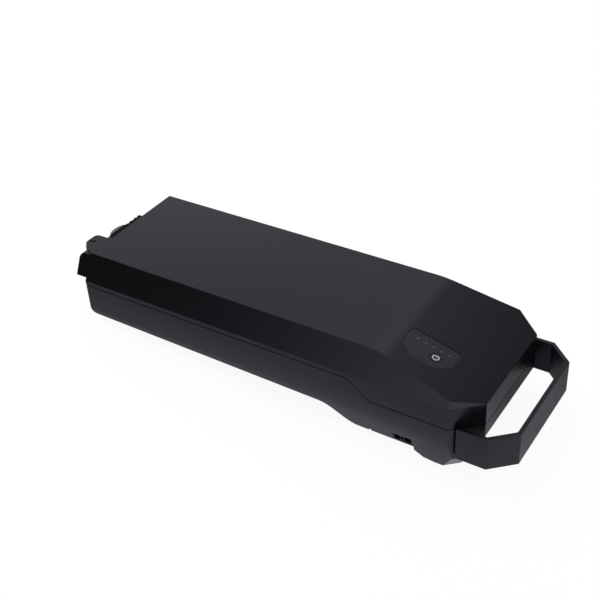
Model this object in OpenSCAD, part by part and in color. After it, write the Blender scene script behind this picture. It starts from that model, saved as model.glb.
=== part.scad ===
// Rear rack battery for an electric bicycle: two black shells with a sloping tail, a band
// handle behind it, a coupling at the front and forty round cells inside.
// +X runs to the handle, +Z is up. The origin is under the middle of the whole length and
// width, at the height of the two rear feet.
// The shapes are first laid out from the rear end face (x = 0) and from the widest edge of
// the case (z = 0), and placed() moves them to that origin.

/* [Body] */
// Width of the case across its widest edge
body_w = 128; // [125:1:150]
// Length of the sloping tail of the cover
slope_l = 81; // [74:1:92]
// Height of the flat deck above the widest edge
deck_h = 22; // [21:0.5:27]
// Radius of the soft bend between deck and slope
crease_r = 60; // [40:1:70]
// How far each side band leans in by deck height
band_in = 11; // [8:0.5:12]
// How far the front wall leans back by deck height
nose_rake = 1.7; // [0:0.1:3]
// Length of the two cut rear corners
corner_l = 21; // [17:0.5:24]
// Width of the two cut rear corners
corner_w = 18.7; // [15:0.1:21]
// Lean of the small facet above each cut corner, in degrees
corner_lean = 20; // [10:1:30]
// Wall of both shells
wall = 2.6; // [2.2:0.1:3]

/* [Seam] */
// Height of the gap between the two shells
seam_gap = 0.8; // [0.5:0.1:1.2]
// Depth of the visible groove in front of the gasket
seam_groove = 0.9; // [0.5:0.1:1.3]
// Drop of the seam below the widest edge, along the front
seam_front = 4.3; // [3:0.1:6]
// Drop of the seam at the rear
seam_rear = 18.9; // [16:0.1:20]
// Length over which the seam dips, ahead of the slope
seam_dip_l = 25.8; // [20:0.1:32]
// Thickness of the locating lip inside the seam
lip_t = 1.2; // [1:0.1:1.6]
// Height of the lip above the seam
lip_h = 2.8; // [2:0.1:3.5]

/* [Lower case] */
// Depth of the lower case at the front
case_front_h = 33; // [31:0.5:36]
// Depth of the lower case where the step begins
case_mid_h = 37.5; // [36.5:0.5:39]
// Depth of the electronics bay behind the step
bay_h = 50.5; // [48:0.5:54]
// Distance from the slope to the step under the case
step_ahead = 15; // [12:0.5:17]
// Length of the step
step_l = 34; // [26:1:40]
// Depth of the rear end face
end_h = 31; // [28:0.5:33]
// Length of the rising underside behind the bay
rise_l = 45; // [40:1:52]
// Depth at which the lower facet starts, at the front
facet_front_h = 28; // [26:0.5:30]
// Depth at which the lower facet starts, at the rear end
facet_rear_h = 32; // [30.5:0.5:34]
// Lean of the lower side facet, in degrees
facet_lean = 10; // [6:1:14]
// Radius of the lower front edge
nose_r = 5; // [3:0.5:7]
// Depth at which the bevel under each cut corner starts
corner_bevel_h = 48; // [46:0.5:50]
// Lean of that bevel, in degrees
corner_bevel_lean = 30; // [20:1:36]

/* [Feet] */
// Depth of the rear feet
foot_h = 60; // [57:0.5:64]
// Width of each rear foot
foot_w = 14; // [10:0.5:18]
// Front end of the feet, measured from the rear end face
foot_l = 49.2; // [46:0.2:54]
// Height of the step at the front of a foot
foot_step = 3.7; // [2.5:0.1:5]
// Depth of the two slide rails
rail_h = 39.7; // [38.7:0.1:41]
// Width of a slide rail
rail_w = 12; // [9:0.5:16]
// Distance from the middle of a rail to the side of the case
rail_inset = 34; // [26:1:38]
// Distance from the step to the slide rails
rail_gap = 12.5; // [8:0.5:60]

/* [Handle] */
// Reach of the handle behind the rear end face
handle_reach = 27; // [25:0.5:40]
// How far each arm of the handle stands back from the widest edge
handle_inset = 1.5; // [1:0.1:3]
// Height of the handle band
handle_h = 28.3; // [20:0.1:34]
// Top of the handle below the widest edge
handle_top = 16.4; // [14:0.1:18]
// Thickness of the handle band
handle_t = 3.2; // [2.6:0.1:4]
// Length of the cut corners of the handle
handle_cut_l = 18.3; // [12:0.1:22]
// Width of the cut corners of the handle
handle_cut_w = 16.8; // [10:0.1:22]
// Front end of the visible arm, measured from the rear end face
arm_start = 15; // [13.5:0.1:15.8]

/* [Indicator] */
// Length of the indicator overlay along the slope
overlay_l = 42; // [39:0.5:45]
// Width of the overlay
overlay_w = 26.5; // [24:0.5:29]
// Middle of the overlay along the slope, from the crease
overlay_at = 28; // [26:0.5:32]
// Distance from the middle of the overlay to the near side
overlay_inset = 36.7; // [35:0.1:44]
// Depth of the pocket that holds the overlay
overlay_pocket = 0.9; // [0.7:0.1:1.2]
// Thickness of the overlay
overlay_t = 0.5; // [0.3:0.1:0.6]
// Distance between indicator lamps along the slope
lamp_pitch = 6.65; // [5.5:0.05:7]
// Radius of a lamp window
lamp_r = 0.8; // [0.6:0.05:1.1]
// Radius of the power button
button_r = 4.3; // [3.6:0.1:4.8]
// Travel of the power button
button_travel = 0.6; // [0.4:0.1:0.8]

/* [Coupling] */
// Reach of the coupling ahead of the front wall
coupling_reach = 10.2; // [9.4:0.1:13]
// Bottom of the coupling above the widest edge
coupling_bottom = 2.5; // [1.5:0.1:4]
// Reach of the hook tab ahead of the front wall
hook_reach = 14.1; // [13.4:0.1:16]
// Width of the contact bay
bay_w = 40; // [36:1:46]
// Distance from the near side to the contact bay
bay_inset = 38; // [37:0.5:40]
// Number of contact slots
slot_n = 7; // [5:1:8]
// Width of a contact slot
slot_w = 3.2; // [2.4:0.1:3.6]
// Radius of the guide hole in the coupling
guide_r = 3; // [2.5:0.1:3.5]
// Depth of the guide hole
guide_l = 8; // [6:0.5:8.5]

/* [Cells] */
// Radius of a cell
cell_r = 9.2; // [9:0.05:9.3]
// Length of a cell
cell_l = 65.2; // [64.8:0.1:65.6]
// Distance between neighbouring cells
cell_pitch = 19.6; // [19.2:0.1:19.8]
// Rows of cells along the case
cell_rows = 4; // [3:1:5]
// Room ahead of the cells
front_space = 10; // [9:0.5:16]
// Room beside the cells for the screw columns and leads
side_room = 13.5; // [13.3:0.1:14.5]

/* [Hidden] */
$fn = 48;

// Colours
shell_black = [0.075, 0.077, 0.08];
rail_black = [0.1, 0.1, 0.105];
rubber_black = [0.03, 0.03, 0.03];
screw_steel = [0.5, 0.5, 0.52];
strike_steel = [0.42, 0.42, 0.43];
overlay_black = [0.1, 0.1, 0.105];
lamp_grey = [0.62, 0.64, 0.66];
board_green = [0.05, 0.3, 0.14];
contact_brass = [0.8, 0.62, 0.26];
cell_teal = [0.1, 0.42, 0.5];
holder_black = [0.12, 0.12, 0.13];
nickel_grey = [0.7, 0.69, 0.65];
sheet_grey = [0.32, 0.36, 0.34];
foam_grey = [0.22, 0.22, 0.23];
part_black = [0.06, 0.06, 0.065];
alu_grey = [0.72, 0.73, 0.75];
fuse_blue = [0.15, 0.3, 0.7];
lead_red = [0.7, 0.08, 0.06];
lead_black = [0.05, 0.05, 0.05];
ribbon_grey = [0.6, 0.6, 0.62];

// Whole object
cut_over = 1;
strip_t = 0.3;
row_gap = 1.6;
row_pitch = cell_l + 2 * strip_t + row_gap;
tail_room = 5.7;
body_l = wall + front_space + cell_rows * row_pitch + slope_l - tail_room;
seam_dip_start = slope_l + seam_dip_l;
step_end = slope_l + step_ahead;
step_start = step_end + step_l;
block_reach = 2 * body_l;
half_w = body_w / 2;
overlay_y = overlay_inset - half_w;
bay_y = bay_inset - half_w;
handle_w = body_w - 2 * handle_inset;
rail_pitch = body_w - 2 * rail_inset;
rail_l = body_l - nose_r - step_start - rail_gap;
x_front = -body_l - hook_reach;
x_shift = -(x_front + handle_reach) / 2;
slope_angle = atan(deck_h / slope_l);
slope_stretch = 1 / cos(slope_angle);
band_lean = atan(band_in / deck_h);
corner_turn = atan2(corner_w, corner_l);
corner_edge = norm([corner_l, corner_w]);
facet_dive = atan((facet_rear_h - facet_front_h) / body_l);
seam_steps = 14;
step_steps = 12;
arc_steps = 6;
fit_gap = 0.3;
screw_gap = 0.05;

module placed() translate([x_shift, 0, foot_h]) children();
module both_sides() for (side = [0, 1]) mirror([0, side, 0]) children();

// A polygon drawn in X and Z, carried across the whole width or from y0 to y1
module side_slab(points, y0 = -body_w, y1 = body_w)
    translate([0, y1, 0]) rotate([90, 0, 0]) linear_extrude(y1 - y0) polygon(points);

// Everything beyond a plane along X that leans by an angle, moved inwards by an inset
module beyond(lean, inset)
    rotate([lean, 0, 0]) translate([-block_reach, -block_reach, -block_reach])
        cube([2 * block_reach, block_reach + inset, 2 * block_reach]);

// Frame on a cut corner: x along the cut, -y straight out of it
module at_corner(z)
    translate([0, -half_w + corner_w, z]) rotate([0, 0, corner_turn]) children();

// A quarter arc of an outline, as points
function arc_points(cx, cy, r, from, to) =
    [for (i = [0 : arc_steps]) let (a = from + (to - from) * i / arc_steps)
        [cx + r * cos(a), cy + r * sin(a)]];

// Plan outline moved inwards by an inset
function corner_line(inset) =
    (corner_l * (half_w - corner_w)) / corner_edge - inset;
function corner_x_at(y, inset) =
    (corner_line(inset) - y * corner_l / corner_edge) * corner_edge / corner_w;
function corner_y_at(x, inset) =
    (corner_line(inset) - x * corner_w / corner_edge) * corner_edge / corner_l;
function plan_half(inset) = [
    [-body_l + inset, half_w - inset],
    [corner_x_at(half_w - inset, inset), half_w - inset],
    [-inset, corner_y_at(-inset, inset)]];
module plan(inset) {
    half = plan_half(inset);
    polygon([half[0], half[1], half[2],
        [half[2].x, -half[2].y], [half[1].x, -half[1].y], [half[0].x, -half[0].y]]);
}

// Height of the seam at a distance from the rear, and the seam as points from front to rear
seam_z_front = -seam_front;
seam_z_rear = -seam_rear;
function seam_at(x) =
    let (s = min(1, max(0, (x + seam_dip_start) / seam_dip_l)))
    seam_z_front + (seam_z_rear - seam_z_front) * (1 - cos(180 * s)) / 2;
function seam_curve(dz) = [for (i = [0 : seam_steps])
    let (x = -seam_dip_start + seam_dip_l * i / seam_steps)
        [x, seam_at(x) + dz]];
function seam_points(dz) = concat(
    [[-body_l - wall, seam_z_front + dz]], seam_curve(dz), [[wall, seam_z_rear + dz]]);
module seam_band(dz0, dz1) {
    low = seam_points(dz0);
    high = seam_points(dz1);
    n = len(high);
    side_slab(concat(low, [for (i = [0 : n - 1]) high[n - 1 - i]]));
}
module above_seam(dz) side_slab(concat(seam_points(dz),
    [[wall, 2 * deck_h], [-body_l - wall, 2 * deck_h]]));
module below_seam(dz) side_slab(concat(seam_points(dz),
    [[wall, -2 * foot_h], [-body_l - wall, -2 * foot_h]]));

// Cover
function cover_side(inset, low) = concat(
    [[-body_l + inset, low], [-body_l + inset, 0],
     [-body_l + inset + nose_rake * (deck_h - inset) / deck_h, deck_h - inset]],
    arc_points(-slope_l - crease_r * tan(slope_angle / 2), deck_h - crease_r,
        crease_r - inset, 90, 90 - slope_angle),
    [[-inset, (inset * deck_h / slope_l) - inset * slope_stretch], [-inset, low]]);
module cover_form(inset) difference() {
    intersection() {
        translate([0, 0, -foot_h]) linear_extrude(foot_h + deck_h + cut_over) plan(inset);
        side_slab(cover_side(inset, -seam_rear - wall));
    }
    both_sides() {
        translate([0, -half_w, 0]) beyond(-band_lean, inset);
        at_corner(0) beyond(-corner_lean, inset);
    }
}

// Frame on the slope: x runs down the slope from the crease, z points out of it
module on_slope() translate([-slope_l, 0, deck_h]) rotate([0, slope_angle, 0]) children();
module on_overlay() on_slope() translate([overlay_at, overlay_y, 0]) children();

// Case screws: places from the rear end face, along the near and far sides
screw_r = 1.5;
screw_head_r = 2.9;
screw_head_h = 2.2;
socket_share = 0.6;
screw_grip = 15;
screw_bite = 7;
column_r = 3.7;
column_inset = 6.4;
side_screw_share = [0.05, 0.27, 0.5, 0.76];
tail_screw_x = -9;
tail_screw_inset = 28;
tail_screw_y = half_w - tail_screw_inset;
module at_all_screws() both_sides() {
    for (share = side_screw_share) {
        x = -body_l + share * body_l;
        translate([x, -half_w + column_inset, seam_at(x)]) children();
    }
    translate([tail_screw_x, -tail_screw_y, seam_z_rear]) children();
}

// Overlay outline on the slope: two round corners, two long cut corners
overlay_r = 3;
overlay_cut_l = 11.8;
overlay_cut_w = 9.4;
function overlay_points(grow) = let (l = overlay_l / 2 + grow, w = overlay_w / 2 + grow)
    concat(
        arc_points(l - overlay_r, w - overlay_r, overlay_r, 0, 90),
        arc_points(-l + overlay_r, w - overlay_r, overlay_r, 90, 180),
        [[-l, -w + overlay_cut_w], [-l + overlay_cut_l, -w],
         [l - overlay_cut_l, -w], [l, -w + overlay_cut_w]]);
overlay_clear = 0.15;
lamp_row_y = 5.7;
lamp_row_x = 0.6;
button_y = -2.7;
button_x = lamp_pitch;
button_clear = 0.3;
flange_reach = 1.3;
flange_r = button_r + flange_reach;
flange_t = 1;
lamp_steps = [-2 : 2];
module at_lamps() for (i = lamp_steps)
    translate([lamp_row_x + i * lamp_pitch, lamp_row_y, 0]) children();
module at_button() translate([button_x, button_y, 0]) children();

// Indicator board under the slope
board_t = 1.2;
board_depth = 7;
board_l = 33;
board_w = 20;
board_post_r = 2.4;
board_screw_r = 1;
board_screw_head_r = 1.9;
board_screw_head_h = 1.3;
board_hole_x = board_l / 2 - board_post_r;
board_hole_y = -10;
lamp_h = 0.9;
module at_board_screws() for (x = [-board_hole_x, board_hole_x])
    translate([x, board_hole_y, 0]) children();

module top_cover() color(shell_black) placed() difference() {
    union() {
        difference() {
            intersection() {
                cover_form(0);
                above_seam(seam_gap / 2);
            }
            cover_form(wall);
        }
        // Screw bosses that hang from the deck and the bands
        intersection() {
            cover_form(wall / 2);
            above_seam(-seam_gap / 2);
            at_all_screws() translate([0, 0, -wall]) cylinder(h = foot_h, r = column_r);
        }
        // Posts for the indicator board
        intersection() {
            cover_form(wall / 2);
            on_overlay() at_board_screws() translate([0, 0, -board_depth])
                cylinder(h = board_depth, r = board_post_r);
        }
    }
    at_all_screws() translate([0, 0, -wall]) cylinder(h = wall + screw_bite,
        r = screw_r + screw_gap);
    on_overlay() {
        translate([0, 0, -overlay_pocket]) linear_extrude(overlay_pocket + cut_over)
            polygon(overlay_points(overlay_clear));
        at_lamps() translate([0, 0, -wall - cut_over])
            cylinder(h = wall + 2 * cut_over, r = lamp_r + screw_gap);
        at_button() translate([0, 0, -wall - cut_over])
            cylinder(h = wall + 2 * cut_over, r = button_r + button_clear);
        at_board_screws() translate([0, 0, -board_depth - cut_over])
            cylinder(h = board_depth - wall + cut_over, r = board_screw_r + screw_gap);
    }
    // Window through the front wall for the contacts
    translate([-body_l - cut_over, bay_y + contact_rim, contact_foot + contact_rim])
        cube([wall + nose_rake + 2 * cut_over, bay_w - 2 * contact_rim, contact_window_h]);
    at_coupling_screws() coupling_hole(wall + nose_rake);
}

// Lower case
function step_curve(lift) = [for (i = [0 : step_steps])
    let (s = i / step_steps)
        [-step_start + step_l * s,
         -case_mid_h - (bay_h - case_mid_h) * (1 - cos(180 * s)) / 2 + lift]];
function under_points(lift) = concat(
    arc_points(-body_l + nose_r, -case_front_h + nose_r + lift, nose_r, 180, 270),
    step_curve(lift),
    [[-rise_l, -bay_h + lift], [0, -end_h + lift]]);
function under_at(x) = x < -step_start
    ? -case_front_h - (case_mid_h - case_front_h) * (x + body_l - nose_r)
        / (body_l - nose_r - step_start)
    : (x < -rise_l ? -bay_h : -bay_h + (bay_h - end_h) * (x + rise_l) / rise_l);
module side_facets(inset) both_sides() {
    translate([-body_l, -half_w, -facet_front_h]) rotate([0, facet_dive, 0])
        beyond(facet_lean, inset);
    at_corner(-corner_bevel_h) beyond(corner_bevel_lean, inset);
}
module case_form(inset) difference() {
    intersection() {
        translate([0, 0, -2 * foot_h]) linear_extrude(2 * foot_h) plan(inset);
        side_slab(concat(under_points(inset), [[0, cut_over], [-body_l, cut_over]]));
    }
    side_facets(inset);
}
foot_toe_l = 7.7;
foot_toe_h = 1;
foot_sole_start = 33;
foot_sole_end = 14;
foot_heel = 8;
foot_points = [
    [-foot_l, -bay_h + wall / 2],
    [-foot_l, -bay_h - foot_step],
    [-foot_l + foot_toe_l, -foot_h + foot_toe_h],
    [-foot_sole_start, -foot_h],
    [-foot_sole_end, -foot_h],
    [-foot_heel, -bay_h],
    [-foot_heel, under_at(-foot_heel) + wall / 2],
    [-rise_l, -bay_h + wall / 2]];

// Slots of the handle tongues and the posts under their lugs
tongue_t = 2;
tongue_drop = 0.3;
tongue_top = -seam_rear - seam_gap / 2 - tongue_drop;
tongue_h = 10.5;
tongue_y = handle_w / 2 - handle_t - tongue_t;
tongue_root = 1;
lug_l = 15;
lug_w = 14;
lug_t = 3.4;
lug_x = -44;
lug_screw_r = 2;
lug_screw_head_r = 3.6;
lug_screw_head_h = 2.4;
lug_screw_l = 12;
lug_post_r = 5.5;
lug_y = tongue_y - lug_w / 2;
lug_hole_x = lug_x + lug_l / 2;
lug_bottom = tongue_top - tongue_h;

// Latch pocket on the near side
latch_x = -66;
latch_l = 16;
latch_top = -43;
latch_h = 6.2;
latch_depth = 7.5;
latch_wall = 1;
latch_window_share = 0.46;
latch_bridge = 3.6;
strike_t = 1.6;
insert_recess = 0.4;
strike_z = latch_top - latch_h / 2;
latch_face_y = -half_w + (bay_h - facet_rear_h) * tan(facet_lean);
latch_back_y = latch_face_y + latch_depth;
strike_screw_r = 1;
strike_screw_head_r = 1.6;
strike_screw_head_h = 1;
strike_screw_bite = 3.5;
strike_boss_r = 2.6;
strike_screw_x = latch_x + latch_l * latch_window_share;
module at_strike_screw(y) translate([strike_screw_x, y, strike_z]) rotate([-90, 0, 0])
    children();

// Board posts in the bay
bms_short = 31;
bms_l = slope_l - bms_short;
bms_under_share = 0.309;
bms_side_gap = 18;
bms_w = body_w - 2 * bms_side_gap;
bms_t = 1.6;
bms_x = tail_room - slope_l - bms_under_share * bms_l;
bms_z = -41;
bms_hole_inset = 4.5;
bms_post_r = 3.2;
bms_screw_r = 1.25;
bms_screw_head_r = 2.5;
bms_screw_head_h = 1.8;
bms_screw_l = 6;
module at_bms_screws() for (x = [bms_hole_inset, bms_l - bms_hole_inset], y = [-1, 1])
    translate([bms_x + x, y * (bms_w / 2 - bms_hole_inset), bms_z]) children();

module lower_case() color(shell_black) placed() difference() {
    union() {
        difference() {
            intersection() {
                case_form(0);
                below_seam(-seam_gap / 2);
            }
            case_form(wall);
        }
        // Locating lip inside the seam
        difference() {
            intersection() {
                seam_band(-2 * lip_h, lip_h);
                translate([0, 0, -foot_h]) linear_extrude(2 * foot_h) difference() {
                    plan(wall + screw_gap);
                    plan(wall + screw_gap + lip_t);
                }
            }
            intersection() {
                both_sides() translate([0, -half_w, 0]) beyond(-band_lean, wall + screw_gap);
                translate([-block_reach, -block_reach, 0]) cube(2 * block_reach);
            }
            intersection() {
                above_seam(-seam_gap / 2);
                at_all_screws() translate([0, 0, -wall])
                    cylinder(h = foot_h, r = column_r + fit_gap);
            }
        }
        intersection() {
            seam_band(-2 * lip_h, -seam_gap);
            translate([0, 0, -foot_h]) linear_extrude(2 * foot_h) difference() {
                plan(wall / 2);
                plan(wall + lip_t);
            }
        }
        // Screw columns
        intersection() {
            case_form(wall / 2);
            below_seam(-seam_gap / 2);
            at_all_screws() translate([0, 0, -foot_h]) cylinder(h = foot_h, r = column_r);
        }
        // Rear feet
        intersection() {
            difference() {
                side_slab(foot_points);
                side_facets(0);
            }
            translate([0, 0, -2 * foot_h]) linear_extrude(2 * foot_h) plan(0);
            both_sides() translate([-body_l, -half_w, -2 * foot_h])
                cube([body_l, foot_w, 2 * foot_h]);
        }
        // Posts for the handle lugs, the board and the rail screws
        intersection() {
            case_form(wall / 2);
            union() {
                at_rail_screws() cylinder(h = rail_boss_h, r = rail_boss_r);
                both_sides() translate([lug_hole_x, -lug_y, -foot_h])
                    cylinder(h = foot_h + lug_bottom, r = lug_post_r);
                at_bms_screws() translate([0, 0, -foot_h]) cylinder(h = foot_h, r = bms_post_r);
            }
        }
        // Housing round the latch pocket
        intersection() {
            case_form(wall / 2);
            translate([latch_x - latch_wall, -half_w, latch_top - latch_h - latch_wall])
                cube([latch_l + 2 * latch_wall, latch_back_y + half_w + strike_t + latch_wall,
                    latch_h + 2 * latch_wall]);
        }
        at_strike_screw(latch_back_y + strike_t) cylinder(h = strike_screw_bite + latch_wall,
            r = strike_boss_r);
    }
    at_all_screws() {
        translate([0, 0, -2 * foot_h]) cylinder(h = 2 * foot_h - screw_grip, r = screw_head_r
            + fit_gap);
        translate([0, 0, -screw_grip - cut_over]) cylinder(h = screw_grip + 2 * cut_over
            + lip_h, r = screw_r + fit_gap);
    }
    both_sides() {
        // Open-topped slot for a handle tongue
        translate([lug_x - fit_gap, -tongue_y - tongue_t - screw_gap, lug_bottom - screw_gap])
            cube([-lug_x, tongue_t + 2 * screw_gap, foot_h]);
        translate([lug_hole_x, -lug_y, lug_bottom - lug_screw_l])
            cylinder(h = lug_screw_l + cut_over, r = lug_screw_r + screw_gap);
    }
    at_bms_screws() translate([0, 0, -bms_screw_l]) cylinder(h = bms_screw_l + cut_over,
        r = bms_screw_r + screw_gap);
    at_rail_screws() {
        cylinder(h = rail_screw_l, r = rail_screw_r + screw_gap);
    }
    // Latch pocket, open to the near side
    translate([latch_x, -half_w, latch_top - latch_h])
        cube([latch_l, half_w + latch_back_y + strike_t, latch_h]);
    at_strike_screw(latch_back_y) cylinder(h = strike_t + strike_screw_bite,
        r = strike_screw_r + screw_gap);
}

module seam_gasket() color(rubber_black) placed() intersection() {
    seam_band(-seam_gap / 2, seam_gap / 2);
    translate([0, 0, -foot_h]) linear_extrude(2 * foot_h) difference() {
        plan(seam_groove);
        plan(wall);
    }
}

module case_screws() color(screw_steel) placed() at_all_screws() {
    translate([0, 0, -screw_grip - screw_head_h]) difference() {
        cylinder(h = screw_head_h, r = screw_head_r);
        translate([0, 0, -cut_over]) cylinder(h = screw_head_h * socket_share + cut_over,
            r = screw_r, $fn = 6);
    }
    translate([0, 0, -screw_grip]) cylinder(h = screw_grip + screw_bite, r = screw_r);
}

// Handle
function band_half(inset) = let (
        edge = norm([handle_cut_l, handle_cut_w]),
        nx = handle_cut_w / edge,
        ny = handle_cut_l / edge,
        x1 = handle_reach - handle_cut_l,
        y1 = handle_w / 2,
        reach = nx * x1 + ny * y1 - inset)
    [[(reach - ny * (y1 - inset)) / nx, y1 - inset],
     [handle_reach - inset, (reach - nx * (handle_reach - inset)) / ny]];
module band_outline(inset) {
    half = band_half(inset);
    start = -arm_start - (inset > 0 ? cut_over : 0);
    polygon([[start, half[0].y], half[0], half[1],
        [half[1].x, -half[1].y], [half[0].x, -half[0].y], [start, -half[0].y]]);
}
module carry_handle() color(shell_black) placed() {
    difference() {
        union() {
            translate([0, 0, -handle_top - handle_h]) linear_extrude(handle_h) difference() {
                band_outline(0);
                band_outline(handle_t);
            }
            both_sides() {
                translate([lug_x, -tongue_y - tongue_t, tongue_top - tongue_h])
                    cube([-lug_x - arm_start + handle_t, tongue_t, tongue_h]);
                translate([-arm_start, -tongue_y - tongue_t - tongue_root, lug_bottom])
                    cube([handle_t, tongue_t + tongue_root, tongue_h]);
                translate([lug_x, -tongue_y - tongue_t, lug_bottom])
                    cube([lug_l, tongue_t + lug_w, lug_t]);
            }
        }
        both_sides() translate([lug_hole_x, -lug_y, lug_bottom - cut_over])
            cylinder(h = lug_t + 2 * cut_over, r = lug_screw_r + fit_gap);
    }
}
module handle_screws() color(screw_steel) placed() both_sides()
    translate([lug_hole_x, -lug_y, lug_bottom + lug_t]) {
        difference() {
            cylinder(h = lug_screw_head_h, r = lug_screw_head_r);
            translate([0, 0, lug_screw_head_h * (1 - socket_share)]) cylinder(h = lug_screw_head_h,
                r = lug_screw_r, $fn = 6);
        }
        translate([0, 0, -lug_t - lug_screw_l]) cylinder(h = lug_t + lug_screw_l,
            r = lug_screw_r);
    }

// Slide rails under the front of the case
rail_start = -body_l + nose_r;
rail_lead = 6;
rail_bevel = 2;
rail_web = 0.9;
rail_screw_r = 1.25;
rail_screw_head_r = 2.5;
rail_screw_head_h = 1.3;
rail_screw_l = 6;
rail_boss_r = 3.6;
rail_boss_h = 7;
rail_screw_share = [0.12, 0.5, 0.88];
module at_rail_screws() both_sides() for (share = rail_screw_share) {
    x = rail_start + share * rail_l;
    translate([x, -rail_pitch / 2, under_at(x) - rail_web]) children();
}
rail_points = [
    [rail_start, under_at(rail_start)],
    [rail_start, -rail_h + rail_bevel],
    [rail_start + rail_lead, -rail_h],
    [rail_start + rail_l, -rail_h],
    [rail_start + rail_l, under_at(rail_start + rail_l)]];
module slide_rails() color(rail_black) placed() difference() {
    both_sides() side_slab(rail_points, -(rail_pitch + rail_w) / 2, -(rail_pitch - rail_w) / 2);
    at_rail_screws() {
        translate([0, 0, -foot_h]) cylinder(h = foot_h, r = rail_screw_head_r + fit_gap);
        cylinder(h = rail_screw_l, r = rail_screw_r + fit_gap);
    }
}
module rail_screws() color(screw_steel) placed() at_rail_screws() {
    translate([0, 0, -rail_screw_head_h]) cylinder(h = rail_screw_head_h,
        r = rail_screw_head_r);
    cylinder(h = rail_screw_l, r = rail_screw_r);
}

// Indicator
module indicator_overlay() color(overlay_black) placed() on_overlay() difference() {
    translate([0, 0, -overlay_pocket]) linear_extrude(overlay_t) polygon(overlay_points(0));
    at_lamps() translate([0, 0, -overlay_pocket - cut_over])
        cylinder(h = overlay_t + 2 * cut_over, r = lamp_r + screw_gap);
    at_button() translate([0, 0, -overlay_pocket - cut_over])
        cylinder(h = overlay_t + 2 * cut_over, r = button_r + button_clear);
}
guide_bar_t = 1.2;
guide_bar_w = 3;
module light_guide() color(lamp_grey) placed() on_overlay() {
    at_lamps() translate([0, 0, -board_depth + lamp_h])
        cylinder(h = board_depth - lamp_h - overlay_pocket + overlay_t, r = lamp_r);
    translate([lamp_row_x - 2 * lamp_pitch - lamp_r, lamp_row_y - guide_bar_w / 2,
        -wall - guide_bar_t])
        cube([4 * lamp_pitch + 2 * lamp_r, guide_bar_w, guide_bar_t]);
}
button_crown = 0.1;
plunger_r = 1.6;
plunger_h = 1.4;
switch_size = 6;
switch_h = 2.6;
switch_top = -board_depth + switch_h;
module power_button() color(overlay_black) placed() on_overlay() at_button() {
    translate([0, 0, -wall - flange_t]) cylinder(h = wall + flange_t - overlay_pocket + overlay_t
        + button_crown, r = button_r);
    translate([0, 0, -wall - flange_t]) cylinder(h = flange_t, r = flange_r);
}
module switch_plunger() color(part_black) placed() on_overlay() at_button()
    translate([0, 0, switch_top - plunger_h / 2])
        cylinder(h = -wall - flange_t - switch_top + plunger_h / 2, r = plunger_r);
module switch_housing() color(screw_steel) placed() on_overlay() at_button() difference() {
    translate([-switch_size / 2, -switch_size / 2, -board_depth])
        cube([switch_size, switch_size, switch_h]);
    translate([0, 0, switch_top - plunger_h / 2 - button_travel - fit_gap])
        cylinder(h = foot_h, r = plunger_r + fit_gap / 2);
}
module indicator_board() color(board_green) placed() on_overlay() difference() {
    translate([-board_l / 2, board_hole_y - board_post_r, -board_depth - board_t])
        cube([board_l, board_w, board_t]);
    at_board_screws() translate([0, 0, -board_depth - board_t - cut_over])
        cylinder(h = board_t + 2 * cut_over, r = board_screw_r + fit_gap / 2);
}
lamp_l = 2;
lamp_w = 1.25;
module indicator_lamps() color(lamp_grey) placed() on_overlay() at_lamps()
    translate([-lamp_l / 2, -lamp_w / 2, -board_depth]) cube([lamp_l, lamp_w, lamp_h]);
module indicator_screws() color(screw_steel) placed() on_overlay() at_board_screws() {
    translate([0, 0, -board_depth - board_t - board_screw_head_h])
        cylinder(h = board_screw_head_h, r = board_screw_head_r);
    translate([0, 0, -board_depth - board_t])
        cylinder(h = board_depth + board_t - wall, r = board_screw_r);
}

// Front coupling
coupling_x = -body_l - coupling_reach;
ear_round = 5;
contact_rim = 2;
contact_floor = 1.5;
contact_foot = coupling_bottom + contact_floor;
contact_window_h = 10;
contact_bed = 1.4;
contact_reach = 3.6;
contact_top = deck_h;
far_cheek_w = 9;
far_cheek_h = 8.5;
hook_t = 5;
hook_near_y = -half_w + band_in;
hook_far_gap = 2.1;
hook_far_y = bay_y - hook_far_gap;
hook_side_in = 2.2;
hook_side_l = 4.3;
hook_shoulder = 13;
hook_round = 4.3;
hook_slot_l = 7;
hook_slot_w = 1.6;
hook_slot_deep = 2;
hook_slot_in = 1.4;
hook_slot_turn = 20;
guide_y = (hook_near_y + bay_y) / 2;
guide_roof = 3.5;
guide_z = coupling_bottom + guide_r + guide_roof;
coupling_screw_r = 1.5;
coupling_screw_head_r = 2.8;
coupling_screw_head_h = 2;
coupling_screw_l = 9;
coupling_screw_edge = 4.2;
coupling_screw_z = coupling_bottom + coupling_screw_edge;
coupling_screw_ys = [hook_near_y + coupling_screw_edge, bay_y - coupling_screw_edge,
    bay_y + bay_w + far_cheek_w / 2];
coupling_seat = wall + nose_rake * (coupling_screw_z + coupling_screw_head_r) / deck_h;
module at_coupling_screws() for (y = coupling_screw_ys)
    translate([-body_l, y, coupling_screw_z]) rotate([0, 90, 0]) children();
module coupling_hole(depth) translate([0, 0, -coupling_screw_l])
    cylinder(h = coupling_screw_l + depth, r = coupling_screw_r + screw_gap);

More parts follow.
